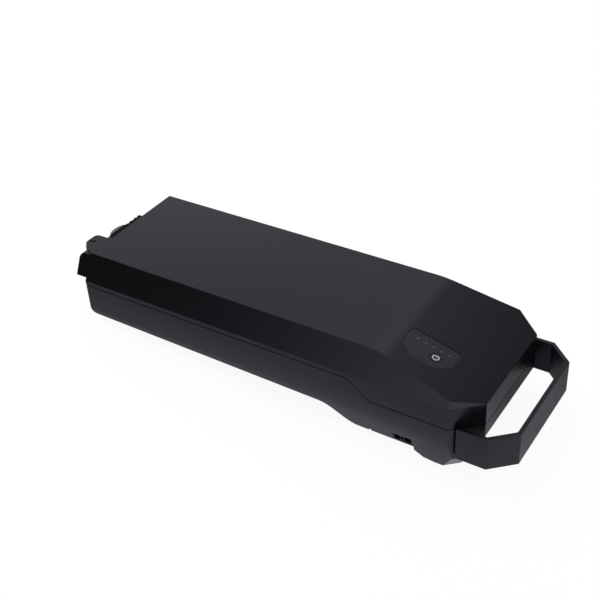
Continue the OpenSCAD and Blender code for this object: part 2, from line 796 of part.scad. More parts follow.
// Front face of the case at a height, because the wall leans back
function nose_x(z) = -body_l + nose_rake * max(z, 0) / deck_h;
function coupling_side(top) = concat(
    [[nose_x(coupling_bottom), coupling_bottom], [coupling_x, coupling_bottom]],
    arc_points(coupling_x + ear_round, top - ear_round, ear_round, 180, 90),
    [[nose_x(top), top]]);
ear_drop = 1.6;
hook_points = concat(
    [[nose_x(deck_h), hook_near_y], [coupling_x + hook_side_in, hook_near_y + hook_side_l]],
    arc_points(x_front + hook_round, hook_near_y + hook_shoulder, hook_round, 225, 180),
    arc_points(x_front + hook_round, hook_far_y - hook_round, hook_round, 180, 90),
    [[nose_x(deck_h) - contact_reach, hook_far_y], [nose_x(deck_h) - contact_reach, bay_y],
     [nose_x(deck_h), bay_y]]);
module front_coupling() color(shell_black) placed() difference() {
    union() {
        // Near block, cut by the same leaning band as the cover
        difference() {
            side_slab(coupling_side(deck_h - ear_drop), -half_w, bay_y);
            translate([0, -half_w, 0]) beyond(-band_lean, 0);
        }
        // Hook tab level with the deck
        intersection() {
            translate([0, 0, deck_h - hook_t]) linear_extrude(hook_t) polygon(hook_points);
            side_slab([[x_front - wall, 0], [x_front - wall, deck_h + cut_over],
                [nose_x(deck_h), deck_h + cut_over], [nose_x(deck_h), deck_h],
                [nose_x(deck_h - hook_t), deck_h - hook_t], [nose_x(0), 0]]);
        }
        // Low cheek on the far side of the contact bay
        side_slab(coupling_side(coupling_bottom + far_cheek_h + ear_drop),
            bay_y + bay_w, bay_y + bay_w + far_cheek_w);
        // Floor of the contact bay
        side_slab([[nose_x(coupling_bottom), coupling_bottom], [coupling_x, coupling_bottom],
            [coupling_x, contact_foot], [nose_x(contact_foot), contact_foot]],
            bay_y - cut_over, bay_y + bay_w + cut_over);
    }
    translate([coupling_x - cut_over, guide_y, guide_z]) rotate([0, 90, 0])
        cylinder(h = guide_l + cut_over, r = guide_r);
    translate([x_front + hook_slot_in, hook_near_y + hook_shoulder, deck_h - hook_slot_deep])
        rotate([0, 0, hook_slot_turn])
        cube([hook_slot_l, hook_slot_w, hook_slot_deep + cut_over]);
    at_coupling_screws() coupling_hole(cut_over);
}
module coupling_screws() color(screw_steel) placed() at_coupling_screws() {
    translate([0, 0, coupling_seat]) cylinder(h = coupling_screw_head_h,
        r = coupling_screw_head_r);
    translate([0, 0, fit_gap - coupling_screw_l]) cylinder(h = coupling_screw_l - fit_gap
        + coupling_seat, r = coupling_screw_r);
}

// Comb of contact slots between the cover and the coupling
slot_pitch = bay_w / slot_n;
comb_points = [
    [nose_x(contact_foot), contact_foot],
    [-body_l - contact_reach, contact_foot],
    [-body_l - contact_reach, contact_top - contact_rim],
    [nose_x(contact_top) - contact_reach, contact_top],
    [nose_x(contact_top), contact_top]];
slot_floor = 1.2;
module contact_block() color(part_black) placed() {
    difference() {
        side_slab(comb_points, bay_y, bay_y + bay_w);
        for (i = [0 : slot_n - 1])
            translate([-body_l - contact_reach - cut_over,
                bay_y + (i + 0.5) * slot_pitch - slot_w / 2, contact_foot + contact_rim])
                cube([contact_reach + cut_over - slot_floor, slot_w, foot_h]);
        for (i = [0 : slot_n - 1]) at_blade(i, screw_gap);
    }
    difference() {
        translate([-body_l - slot_floor / 2, bay_y + contact_rim + fit_gap,
            contact_foot + contact_rim + fit_gap])
            cube([wall + contact_bed + slot_floor / 2, bay_w - 2 * (contact_rim + fit_gap),
                contact_window_h - 2 * fit_gap]);
        for (i = [0 : slot_n - 1]) at_blade(i, screw_gap);
    }
}
blade_t = 0.8;
blade_h = 7;
blade_tail = 6;
blade_nose = 0.4;
blade_z = contact_foot + contact_rim + contact_bed;
function blade_y(i) = bay_y + (i + 0.5) * slot_pitch;
module at_blade(i, gap)
    translate([-body_l - contact_reach + blade_nose, blade_y(i) - blade_t / 2 - gap, blade_z - gap])
        cube([contact_reach + wall + blade_tail, blade_t + 2 * gap, blade_h + 2 * gap]);
module contact_blades() color(contact_brass) placed()
    for (i = [0 : slot_n - 1]) at_blade(i, 0);

// Round hood ahead of the comb
hood_r = 16;
hood_t = 2.4;
hood_out = 7.2;
hood_drop = 0.8;
hood_near = 3.2;
hood_y = bay_y + hood_r - hood_near;
module plug_hood() color(rail_black) placed() intersection() {
    translate([-body_l - hood_out + hood_r, hood_y, deck_h - hood_drop - hood_t])
        cylinder(h = hood_t, r = hood_r);
    translate([-body_l - body_w, bay_y, 0])
        cube([body_w - contact_reach, bay_w, 2 * deck_h]);
}

// Latch
module latch_insert() color(rail_black) placed() difference() {
    intersection() {
        case_form(insert_recess);
        translate([latch_x + screw_gap, -half_w, latch_top - latch_h + screw_gap])
            cube([latch_l - 2 * screw_gap, half_w + latch_back_y, latch_h - 2 * screw_gap]);
    }
    translate([latch_x + latch_wall, -half_w, latch_top - latch_h + latch_wall])
        cube([latch_l * latch_window_share - latch_wall - latch_bridge / 2,
            half_w + latch_back_y + cut_over, latch_h - 2 * latch_wall]);
    translate([latch_x + latch_l * latch_window_share + latch_bridge / 2, -half_w,
        latch_top - latch_h + latch_wall])
        cube([latch_l * (1 - latch_window_share) - latch_wall - latch_bridge / 2,
            half_w + latch_back_y + cut_over, latch_h - 2 * latch_wall]);
    at_strike_screw(-half_w) {
        cylinder(h = half_w + latch_back_y + cut_over, r = strike_screw_r + screw_gap);
        cylinder(h = half_w + latch_face_y + 2 * strike_screw_head_h,
            r = strike_screw_head_r + screw_gap);
    }
}
module latch_strike() color(strike_steel) placed() difference() {
    translate([latch_x + screw_gap, latch_back_y, latch_top - latch_h + screw_gap])
        cube([latch_l - 2 * screw_gap, strike_t, latch_h - 2 * screw_gap]);
    at_strike_screw(latch_back_y - cut_over) cylinder(h = strike_t + 2 * cut_over,
        r = strike_screw_r + screw_gap);
}
module strike_screw() color(screw_steel) placed() {
    at_strike_screw(latch_face_y + strike_screw_head_h) cylinder(h = strike_screw_head_h,
        r = strike_screw_head_r);
    at_strike_screw(latch_face_y + strike_screw_head_h) cylinder(h = latch_depth + strike_t
        + strike_screw_bite - strike_screw_head_h, r = strike_screw_r);
}

// Cells
holder_t = 7;
holder_rim = 1.2;
lead_r = 1.7;
lead_z = -8;
cells_across = floor((body_w - 2 * side_room) / cell_pitch);
stack_w = cells_across * cell_pitch + 2 * holder_rim;
stack_h = 2 * cell_pitch + 2 * holder_rim;
top_room = 3.6;
stack_top = deck_h - wall - top_room;
stack_bottom = stack_top - stack_h;
stack_x = -body_l + wall + front_space;
stack_l = cell_rows * row_pitch - row_gap;
module at_rows() for (row = [0 : cell_rows - 1])
    translate([stack_x + strip_t + row * row_pitch, 0, 0]) children();
module at_cells() for (i = [0 : cells_across - 1], k = [0, 1])
    translate([0, (i - (cells_across - 1) / 2) * cell_pitch,
        stack_bottom + holder_rim + (k + 0.5) * cell_pitch]) rotate([0, 90, 0]) children();
module battery_cells() color(cell_teal) placed() at_rows() at_cells()
    cylinder(h = cell_l, r = cell_r);
module cell_holders() color(holder_black) placed() at_rows()
    for (x = [0, cell_l - holder_t]) difference() {
        translate([x, -stack_w / 2, stack_bottom]) cube([holder_t, stack_w, stack_h]);
        translate([x - cut_over, 0, 0]) at_cells() cylinder(h = holder_t + 2 * cut_over,
            r = cell_r + screw_gap);
    }
strip_inset = 4;
module cell_strip(first, count) translate([0,
        (first - cells_across / 2) * cell_pitch + strip_inset, stack_bottom + strip_inset])
    cube([strip_t, count * cell_pitch - 2 * strip_inset, stack_h - 2 * strip_inset]);
module nickel_strips() color(nickel_grey) placed() at_rows() {
    for (i = [0 : 2 : cells_across - 1])
        translate([-strip_t, 0, 0]) cell_strip(i, min(2, cells_across - i));
    translate([cell_l, 0, 0]) {
        cell_strip(0, 1);
        for (i = [1 : 2 : cells_across - 1]) cell_strip(i, min(2, cells_across - i));
    }
}
module insulation_sheets() color(sheet_grey) placed() {
    if (cell_rows > 1) for (row = [1 : cell_rows - 1])
        translate([stack_x + row * row_pitch - row_gap, -stack_w / 2, stack_bottom])
            cube([row_gap, stack_w, stack_h]);
    translate([stack_x + stack_l, -stack_w / 2, stack_bottom])
        cube([row_gap, stack_w, stack_h]);
}
foam_l = 40;
foam_inset = 8;
foam_w = stack_w - 2 * foam_inset;
low_foam_w = rail_pitch - rail_w;
module top_foam() color(foam_grey) placed() at_rows()
    translate([(cell_l - foam_l) / 2, -foam_w / 2, stack_top])
        cube([foam_l, foam_w, deck_h - wall - stack_top]);
module bottom_foam() color(foam_grey) placed() for (row = [0 : max(0, cell_rows - 2)]) {
    x0 = stack_x + row * row_pitch + (cell_l - foam_l) / 2;
    x1 = x0 + foam_l;
    if (x1 < -step_start) side_slab([[x0, under_at(x0) + wall + screw_gap],
        [x1, under_at(x1) + wall + screw_gap], [x1, stack_bottom], [x0, stack_bottom]],
        -low_foam_w / 2, low_foam_w / 2);
}
front_foam_w = 18;
front_foam_t = front_space - lip_t - 2 * screw_gap;
module front_foam() color(foam_grey) placed() both_sides()
    translate([stack_x - front_foam_t, -stack_w / 2, stack_bottom])
        cube([front_foam_t, front_foam_w, lead_z - lead_r - fit_gap - stack_bottom]);

// Battery management board
module bms_board() color(board_green) placed() difference() {
    translate([bms_x, -bms_w / 2, bms_z]) cube([bms_l, bms_w, bms_t]);
    at_bms_screws() translate([0, 0, -cut_over]) cylinder(h = bms_t + 2 * cut_over,
        r = bms_screw_r + fit_gap);
}
module bms_screws() color(screw_steel) placed() at_bms_screws() {
    translate([0, 0, bms_t]) cylinder(h = bms_screw_head_h, r = bms_screw_head_r);
    translate([0, 0, -bms_screw_l]) cylinder(h = bms_screw_l + bms_t, r = bms_screw_r);
}
fet_n = 6;
fet_l = 10;
fet_w = 9;
fet_h = 2.4;
fet_pitch = 11.5;
fet_share = 0.36;
fet_x = bms_x + fet_share * bms_l;
module bms_transistors() color(part_black) placed() for (i = [0 : fet_n - 1])
    translate([fet_x, (i - (fet_n - 1) / 2) * fet_pitch - fet_w / 2, bms_z + bms_t])
        cube([fet_l, fet_w, fet_h]);
sink_fin_n = 8;
sink_base = 1.6;
sink_h = 6.5;
sink_fin_t = 1.2;
sink_w = fet_n * fet_pitch;
sink_fin_pitch = (sink_w - sink_fin_t) / (sink_fin_n - 1);
module bms_heatsink() color(alu_grey) placed()
    translate([fet_x, -sink_w / 2, bms_z + bms_t + fet_h]) {
        cube([fet_l, sink_w, sink_base]);
        for (i = [0 : sink_fin_n - 1]) translate([0, i * sink_fin_pitch, 0])
            cube([fet_l, sink_fin_t, sink_h]);
    }
cap_r = 4;
cap_h = 9;
cap_end = 8;
cap_x = bms_x + bms_l - cap_end;
cap_pitch = 11;
cap_y = -bms_w / 4;
module bms_capacitors() color(part_black) placed() for (i = [0, 1])
    translate([cap_x, cap_y + i * cap_pitch, bms_z + bms_t]) cylinder(h = cap_h, r = cap_r);
fuse_share = 0.33;
fuse_end = 2;
fuse_l = fuse_share * bms_l;
fuse_w = 8.5;
fuse_h = 12;
fuse_x = bms_x + bms_l - fuse_l - fuse_end;
fuse_body_share = 0.55;
fuse_blade_shares = [0.7, 0.5];
fuse_y = bms_w / 6;
module main_fuse() color(fuse_blue) placed() translate([fuse_x, fuse_y, bms_z + bms_t]) {
    cube([fuse_l, fuse_w, fuse_h * fuse_body_share]);
    translate([fuse_l * (1 - fuse_blade_shares.x) / 2, fuse_w * (1 - fuse_blade_shares.y) / 2, 0])
        cube([fuse_l * fuse_blade_shares.x, fuse_w * fuse_blade_shares.y, fuse_h]);
}
ribbon_w = 24;
ribbon_t = 1;
ribbon_y = -ribbon_w / 2;
ribbon_x = stack_x + stack_l + row_gap;
module balance_ribbon() color(ribbon_grey) placed()
    translate([ribbon_x, ribbon_y, bms_z + bms_t])
        cube([ribbon_t, ribbon_w, stack_bottom + stack_h / 2 - bms_z - bms_t]);

// A lead along straight stretches with round elbows
module tube(a, b, r) {
    d = b - a;
    translate(a) rotate([0, acos(d.z / norm(d)), atan2(d.y, d.x)]) cylinder(h = norm(d), r = r);
}
module lead(route, r) {
    for (i = [0 : len(route) - 2]) tube(route[i], route[i + 1], r);
    if (len(route) > 2) for (i = [1 : len(route) - 2]) translate(route[i]) sphere(r = r);
}
lead_y = -stack_w / 2 - lead_r - screw_gap;
signal_r = 1.1;
blade_mid_z = blade_z + blade_h / 2;
lead_front_x = -body_l + wall + blade_tail - lead_r;
lead_down_x = ribbon_x - lead_r;
lead_land_z = bms_z + bms_t + lead_r;
lead_land_y = bms_w / 2 - lead_r;
// A power lead from beside a blade, along one side of the cells, to the board
module power_lead(blade, side) lead([
    [lead_front_x, blade_y(blade) + side * (blade_t / 2 + lead_r), blade_mid_z],
    [lead_front_x, blade_y(blade) + side * (blade_t / 2 + lead_r), lead_z],
    [lead_front_x, -side * lead_y, lead_z],
    [lead_down_x, -side * lead_y, lead_z],
    [lead_down_x, -side * lead_y, lead_land_z],
    [lead_down_x, side * lead_land_y, lead_land_z]], lead_r);
module positive_lead() color(lead_red) placed() power_lead(1, -1);
module negative_lead() color(lead_black) placed() power_lead(slot_n - 2, 1);
signal_x = -slope_l + overlay_at;
signal_y = overlay_y + board_hole_y / 2;
signal_top = -(signal_x + signal_r) * deck_h / slope_l
    - (board_depth + board_t) * slope_stretch - screw_gap;
module signal_lead() color(ribbon_grey) placed() lead([
    [signal_x, signal_y, signal_top], [signal_x, signal_y, bms_z + bms_t]], signal_r);

top_cover();
lower_case();
seam_gasket();
case_screws();
carry_handle();
handle_screws();
slide_rails();
rail_screws();
indicator_overlay();
light_guide();
power_button();
switch_plunger();
switch_housing();
indicator_board();
indicator_lamps();
indicator_screws();
front_coupling();
coupling_screws();
contact_block();
contact_blades();
plug_hood();
latch_insert();
latch_strike();
strike_screw();
battery_cells();
cell_holders();
nickel_strips();
insulation_sheets();
top_foam();
bottom_foam();
front_foam();
bms_board();
bms_transistors();
bms_heatsink();
bms_capacitors();
bms_screws();
main_fuse();
positive_lead();
negative_lead();
balance_ribbon();
signal_lead();
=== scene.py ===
import math

import bmesh
import bpy
import numpy as np
from mathutils import Matrix, Vector


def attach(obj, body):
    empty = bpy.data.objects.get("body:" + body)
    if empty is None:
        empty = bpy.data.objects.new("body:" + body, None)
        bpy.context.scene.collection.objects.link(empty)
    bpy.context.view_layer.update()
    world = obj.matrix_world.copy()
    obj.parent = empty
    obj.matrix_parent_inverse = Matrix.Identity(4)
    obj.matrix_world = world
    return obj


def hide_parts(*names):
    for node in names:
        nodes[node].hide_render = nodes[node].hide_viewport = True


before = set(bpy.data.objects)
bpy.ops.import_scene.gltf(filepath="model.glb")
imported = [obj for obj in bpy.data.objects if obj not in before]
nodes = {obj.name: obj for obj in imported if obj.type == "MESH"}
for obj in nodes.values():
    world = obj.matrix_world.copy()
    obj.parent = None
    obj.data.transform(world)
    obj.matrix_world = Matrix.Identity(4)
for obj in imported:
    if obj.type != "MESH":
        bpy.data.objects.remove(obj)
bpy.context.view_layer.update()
print("frame loaded:", len(nodes), "nodes")

mm = 0.001
# the drawing's zero is at the rear end face and the widest edge; this moves it to the row frame
drawingShift = Vector((172.3, 0.0, 60.0))


def place(x, y, z):
    return Vector((x + drawingShift.x, y + drawingShift.y, z + drawingShift.z)) * mm


# Helpers that build material node trees


def newMaterial(name):
    mat = bpy.data.materials.new(name)
    mat.use_nodes = True
    tree = mat.node_tree
    tree.nodes.clear()
    out = tree.nodes.new("ShaderNodeOutputMaterial")
    shader = tree.nodes.new("ShaderNodeBsdfPrincipled")
    tree.links.new(shader.outputs["BSDF"], out.inputs["Surface"])
    return mat, tree, shader


# inputs that are sockets are linked, and the others are set
def addNode(tree, kind, inputs=None, **props):
    node = tree.nodes.new(kind)
    for key, value in props.items():
        setattr(node, key, value)
    for key, value in (inputs or {}).items():
        if isinstance(value, bpy.types.NodeSocket):
            tree.links.new(value, node.inputs[key])
        else:
            node.inputs[key].default_value = value
    return node


def objectPoint(tree, stretch=None):
    point = addNode(tree, "ShaderNodeTexCoord").outputs["Object"]
    if stretch is None:
        return point
    return addNode(tree, "ShaderNodeMapping", {"Vector": point, "Scale": stretch}).outputs["Vector"]


def noise(tree, vector, scale, detail=2.0, roughness=0.5):
    inputs = {"Vector": vector, "Scale": scale, "Detail": detail, "Roughness": roughness}
    return addNode(tree, "ShaderNodeTexNoise", inputs).outputs["Fac"]


def voronoi(tree, vector, scale, randomness=1.0, feature="F1"):
    inputs = {"Vector": vector, "Scale": scale, "Randomness": randomness}
    return addNode(tree, "ShaderNodeTexVoronoi", inputs, feature=feature).outputs["Distance"]


def mapTo(tree, value, low, high, fromLow=0.3, fromHigh=0.7):
    inputs = {"Value": value, "From Min": fromLow, "From Max": fromHigh, "To Min": low, "To Max": high}
    return addNode(tree, "ShaderNodeMapRange", inputs).outputs["Result"]


def mathNode(tree, operation, a, b=0.5, c=None, clamp=False):
    inputs = {0: a, 1: b} if c is None else {0: a, 1: b, 2: c}
    return addNode(tree, "ShaderNodeMath", inputs, operation=operation, use_clamp=clamp).outputs[0]


def mixColour(tree, factor, a, b):
    node = addNode(tree, "ShaderNodeMix", data_type="RGBA")
    for key, value in (("Factor", factor), ("A", a), ("B", b)):
        socket = [s for s in node.inputs if s.name == key and s.enabled][0]
        if isinstance(value, bpy.types.NodeSocket):
            tree.links.new(value, socket)
        else:
            socket.default_value = value
    return [s for s in node.outputs if s.enabled][0]


def grey(value):
    return (value, value, value, 1.0)


def scaled(colour, factor):
    return tuple(min(1.0, c * factor) for c in colour[:3]) + (1.0,)


# a shade between two strengths of one colour, following a noise
def cloudy(tree, cloud, colour, darkest, lightest=1.0):
    return mixColour(tree, mapTo(tree, cloud, 0.0, 1.0), scaled(colour, darkest), scaled(colour, lightest))


# a roughness from a noise, with finer detail added round its middle value
def varied(tree, rough, fine, amount):
    wander = mathNode(tree, "MULTIPLY", mathNode(tree, "SUBTRACT", fine, 0.5), amount)
    return mathNode(tree, "ADD", rough, wander)


def linkShader(tree, shader, colour, rough, height=None, depth=0.0, strength=1.0):
    tree.links.new(colour, shader.inputs["Base Color"])
    tree.links.new(rough, shader.inputs["Roughness"])
    if height is not None:
        bump = addNode(tree, "ShaderNodeBump", {"Strength": strength, "Distance": depth, "Height": height})
        tree.links.new(bump.outputs["Normal"], shader.inputs["Normal"])


plasticTint = (0.85, 0.895, 1.0, 1.0)  # slightly blue highlights
dustColour = grey(0.25)


# Moulded plastic: spark-eroded grain, faint flow mottling, rubbed patches and fine dust
def mouldedPlastic(name, colour, roughness, grain=0.00001, grainSize=0.35, mottle=0.12, specular=0.32):
    mat, tree, shader = newMaterial(name)
    point = objectPoint(tree)
    fine = noise(tree, point, 1.0 / (grainSize * mm), 3.0, 0.6)
    pits = voronoi(tree, point, 1.0 / (1.6 * grainSize * mm), feature="SMOOTH_F1")
    cloud = noise(tree, point, 22.0, 3.0, 0.55)
    patch = noise(tree, point, 60.0, 5.0, 0.62)
    speck = noise(tree, point, 1400.0, 1.0, 0.5)
    tone = cloudy(tree, cloud, colour, 1 - mottle, 1 + mottle)
    dust = mathNode(tree, "MULTIPLY", mapTo(tree, speck, 0.0, 1.0, 0.7, 0.8), 0.02)
    dusty = mixColour(tree, dust, tone, dustColour)
    rub = 0.015
    rough = varied(tree, mapTo(tree, patch, roughness - rub, roughness + rub), fine, 0.12)
    height = mathNode(tree, "ADD", mathNode(tree, "MULTIPLY", fine, 0.6),
                      mathNode(tree, "MULTIPLY", pits, 0.5))
    linkShader(tree, shader, dusty, rough, height, grain)
    shader.inputs["Specular IOR Level"].default_value = specular
    shader.inputs["Specular Tint"].default_value = plasticTint
    return mat


# Metal with brushing along one axis, a little staining and bright rubbed spots
def brushedMetal(name, colour, roughness, axis=0, lineSize=0.12, stain=0.15):
    mat, tree, shader = newMaterial(name)
    stretch = [1.0, 1.0, 1.0]
    stretch[axis] = 0.03
    lines = noise(tree, objectPoint(tree, stretch), 1.0 / (lineSize * mm), 2.0, 0.5)
    cloud = noise(tree, objectPoint(tree), 240.0, 3.0, 0.6)
    rough = varied(tree, mapTo(tree, cloud, roughness - 0.06, roughness + 0.08), lines, 0.2)
    tone = cloudy(tree, cloud, colour, 1 - stain, 1 + 0.5 * stain)
    linkShader(tree, shader, tone, rough, lines, 0.000006, 0.6)
    shader.inputs["Metallic"].default_value = 1.0
    return mat


# Closed-cell foam or rubber: small round pores with painted shade in them, and a dull surface
def softMaterial(name, colour, pore=0.5, depth=0.00008, roughness=0.9):
    mat, tree, shader = newMaterial(name)
    point = objectPoint(tree)
    pores = voronoi(tree, point, 1.0 / (pore * mm))
    cloud = noise(tree, point, 120.0, 4.0, 0.6)
    # painted shade: the colour darkens towards each pore's middle, where the bump dips, times a random cloudy
    # tone
    shade = mathNode(tree, "MULTIPLY", mapTo(tree, pores, 0.55, 1.1, 0.0, 0.6), mapTo(tree, cloud, 0.85, 1.1))
    rough = mapTo(tree, cloud, roughness - 0.08, min(1.0, roughness + 0.05))
    linkShader(tree, shader, mixColour(tree, shade, grey(0.0), colour), rough, pores, depth, 0.7)
    return mat


# Circuit board: solder mask with copper tracks showing through as lighter bands, and small vias
def boardMaterial(name, colour, track):
    mat, tree, shader = newMaterial(name)
    point = objectPoint(tree)
    mortar = {"Vector": point, "Scale": 160.0, "Mortar Size": 0.03, "Mortar Smooth": 0.4, "Bias": 0.2}
    bricks = addNode(tree, "ShaderNodeTexBrick", mortar).outputs["Fac"]
    via = mapTo(tree, voronoi(tree, point, 260.0, 0.6), 1.0, 0.0, 0.08, 0.14)
    ring = mathNode(tree, "MULTIPLY", via, 0.8, clamp=True)
    tone = mixColour(tree, ring, mixColour(tree, bricks, colour, track), (0.6, 0.6, 0.58, 1.0))
    rough = mapTo(tree, noise(tree, point, 500.0), 0.22, 0.36)
    linkShader(tree, shader, tone, rough, bricks, 0.00003, 0.5)
    return mat


# Shrink sleeve: glossy film with soft lengthwise wrinkles
def sleeveMaterial(name, colour):
    mat, tree, shader = newMaterial(name)
    wrinkle = noise(tree, objectPoint(tree, (0.35, 1.0, 1.0)), 700.0, 3.0, 0.5)
    cloud = noise(tree, objectPoint(tree), 90.0, 3.0, 0.5)
    linkShader(tree, shader, cloudy(tree, cloud, colour, 0.8), mapTo(tree, cloud, 0.24, 0.34),
               wrinkle, 0.00005, 0.5)
    return mat


# Insulated wire or ribbon: fine lines across it with painted shade in their grooves, and a slight sheen
def wireMaterial(name, colour, lineSize, direction="Y"):
    mat, tree, shader = newMaterial(name)
    point = objectPoint(tree)
    inputs = {"Vector": point, "Scale": 0.05 / (lineSize * mm), "Distortion": 0.2}
    wave = addNode(tree, "ShaderNodeTexWave", inputs, bands_direction=direction).outputs["Fac"]
    # painted shade: darker where the wave dips, in the grooves of the bump
    tone = mixColour(tree, mapTo(tree, wave, 0.0, 1.0, 0.1, 0.4), scaled(colour, 0.55), colour)
    rough = mapTo(tree, noise(tree, point, 300.0), 0.4, 0.55)
    linkShader(tree, shader, tone, rough, wave, 0.00008, 0.6)
    return mat


# Milky or clear lamp plastic
def lampMaterial(name, colour, roughness=0.3):
    mat, tree, shader = newMaterial(name)
    cloud = noise(tree, objectPoint(tree), 900.0, 3.0, 0.6)
    rough = mapTo(tree, cloud, roughness - 0.05, roughness + 0.05)
    linkShader(tree, shader, cloudy(tree, cloud, colour, 0.75), rough)
    return mat


finishes = {
    "shell": mouldedPlastic("satinBlackShell", (0.0040, 0.0042, 0.0048, 1.0), 0.27),
    "case": mouldedPlastic("satinBlackCase", (0.0042, 0.0044, 0.005, 1.0), 0.33),
    "handle": mouldedPlastic("handleBlack", (0.0046, 0.0048, 0.0054, 1.0), 0.44,
                             grainSize=0.45, specular=0.3),
    "trim": mouldedPlastic("trimBlack", (0.005, 0.0052, 0.0056, 1.0), 0.36),
    # light grey colour: painted highlight standing in for the bright reflection on the hood's rounded rim
    "hood": mouldedPlastic("hoodPaintedHighlight", (0.15, 0.154, 0.164, 1.0), 0.4),
    "rail": mouldedPlastic("railBlack", (0.018, 0.018, 0.019, 1.0), 0.3, grain=0.000004),
    "overlay": mouldedPlastic("panelFilm", (0.027, 0.028, 0.0325, 1.0), 0.4, 0.000006, 0.2, mottle=0.06),
    "button": mouldedPlastic("buttonCap", (0.02, 0.02, 0.022, 1.0), 0.4, grain=0.000005, grainSize=0.2),
    "seal": softMaterial("sealRubber", (0.006, 0.006, 0.006, 1.0), 0.25, 0.00002, 0.8),
    "foam": softMaterial("paddingFoam", (0.06, 0.06, 0.065, 1.0), 0.6, 0.00012),
    "screw": brushedMetal("zincScrew", (0.42, 0.43, 0.44, 1.0), 0.32),
    "blackScrew": brushedMetal("blackenedScrew", (0.02, 0.02, 0.021, 1.0), 0.45),
    "strike": brushedMetal("strikeSteel", (0.3, 0.3, 0.31, 1.0), 0.38, 2),
    "contact": brushedMetal("contactBrass", (0.75, 0.55, 0.2, 1.0), 0.25, 2),
    "nickel": brushedMetal("nickelStrip", (0.55, 0.53, 0.48, 1.0), 0.3, 1),
    "heatsink": brushedMetal("heatSinkAluminium", (0.6, 0.61, 0.62, 1.0), 0.4, 0),
    "can": brushedMetal("switchCan", (0.5, 0.5, 0.5, 1.0), 0.3, 1),
    "board": boardMaterial("solderMask", (0.01, 0.09, 0.035, 1.0), (0.03, 0.2, 0.08, 1.0)),
    "component": mouldedPlastic("componentBlack", (0.012, 0.012, 0.012, 1.0), 0.5, grainSize=0.15),
    "contactBlock": mouldedPlastic("contactBlockBlack", (0.003, 0.003, 0.0032, 1.0), 0.7,
                                   grainSize=0.25, specular=0.08),
    "capacitor": sleeveMaterial("capacitorSleeve", (0.01, 0.012, 0.03, 1.0)),
    "cell": sleeveMaterial("cellSleeve", (0.02, 0.2, 0.26, 1.0)),
    "holder": mouldedPlastic("holderBlack", (0.02, 0.02, 0.02, 1.0), 0.5),
    "sheet": wireMaterial("fishPaper", (0.12, 0.15, 0.13, 1.0), 0.5, "Z"),
    "fuse": lampMaterial("fuseBody", (0.02, 0.06, 0.5, 1.0), 0.25),
    "leadRed": wireMaterial("redLead", (0.5, 0.02, 0.015, 1.0), 2.0, "X"),
    "leadBlack": wireMaterial("blackLead", (0.02, 0.02, 0.02, 1.0), 2.0, "X"),
    "ribbon": wireMaterial("ribbonCable", (0.4, 0.4, 0.42, 1.0), 1.2, "Y"),
    "lens": lampMaterial("lampLens", (0.16, 0.165, 0.17, 1.0), 0.25),
    "lampBody": lampMaterial("lampBody", (0.7, 0.7, 0.6, 1.0), 0.3),
    "ringPrint": lampMaterial("ringPrint", (0.8, 0.82, 0.84, 1.0), 0.35),
}
print("materials made:", len(finishes))

nodeFinish = {
    "top_cover": "shell", "lower_case": "case", "carry_handle": "handle", "front_coupling": "shell",
    "plug_hood": "hood", "latch_insert": "trim", "slide_rails": "rail", "seam_gasket": "seal",
    "case_screws": "screw", "handle_screws": "screw", "rail_screws": "screw", "indicator_screws": "screw",
    "coupling_screws": "screw", "strike_screw": "blackScrew", "bms_screws": "screw",
    "indicator_overlay": "overlay", "power_button": "button", "light_guide": "lens",
    "switch_plunger": "component", "switch_housing": "can", "indicator_board": "board",
    "indicator_lamps": "lampBody", "contact_block": "contactBlock", "contact_blades": "contact",
    "latch_strike": "strike", "battery_cells": "cell", "cell_holders": "holder",
    "nickel_strips": "nickel", "insulation_sheets": "sheet", "top_foam": "foam",
    "bottom_foam": "foam", "front_foam": "foam", "bms_board": "board", "bms_transistors": "component",
    "bms_heatsink": "heatsink", "bms_capacitors": "capacitor", "main_fuse": "fuse",
    "positive_lead": "leadRed", "negative_lead": "leadBlack", "balance_ribbon": "ribbon",
    "signal_lead": "ribbon",
}


def dress(obj, finish):
    obj.data.materials.clear()
    obj.data.materials.append(finishes[finish])


for name, node in nodes.items():
    dress(node, nodeFinish[name])
print("CAD nodes dressed")


# A copy of a CAD node with its flat faces joined and its sharp edges rounded
def roundedCopy(nodeName, newName, width, segments=3, angle=16.0, body="pack"):
    source = nodes[nodeName]
    mesh = bpy.data.meshes.new(newName)
    work = bmesh.new()
    work.from_mesh(source.data)
    bmesh.ops.remove_doubles(work, verts=work.verts, dist=0.000004)
    bmesh.ops.dissolve_limit(work, angle_limit=math.radians(0.4), verts=work.verts, edges=work.edges)
    for face in work.faces:
        face.smooth = True
    work.to_mesh(mesh)
    work.free()
    obj = bpy.data.objects.new(newName, mesh)
    bpy.context.scene.collection.objects.link(obj)
    bevel = obj.modifiers.new("roundedEdges", "BEVEL")
    bevel.width = width * mm
    bevel.segments = segments
    bevel.limit_method = "ANGLE"
    bevel.angle_limit = math.radians(angle)
    bevel.use_clamp_overlap = True
    bevel.miter_outer = "MITER_ARC"
    weigh = obj.modifiers.new("flatFaces", "WEIGHTED_NORMAL")  # large flat faces stay flat
    weigh.mode = "FACE_AREA"
    weigh.weight = 90
    weigh.keep_sharp = True
    dress(obj, nodeFinish[nodeName])
    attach(obj, body)
    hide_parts(nodeName)
    return obj


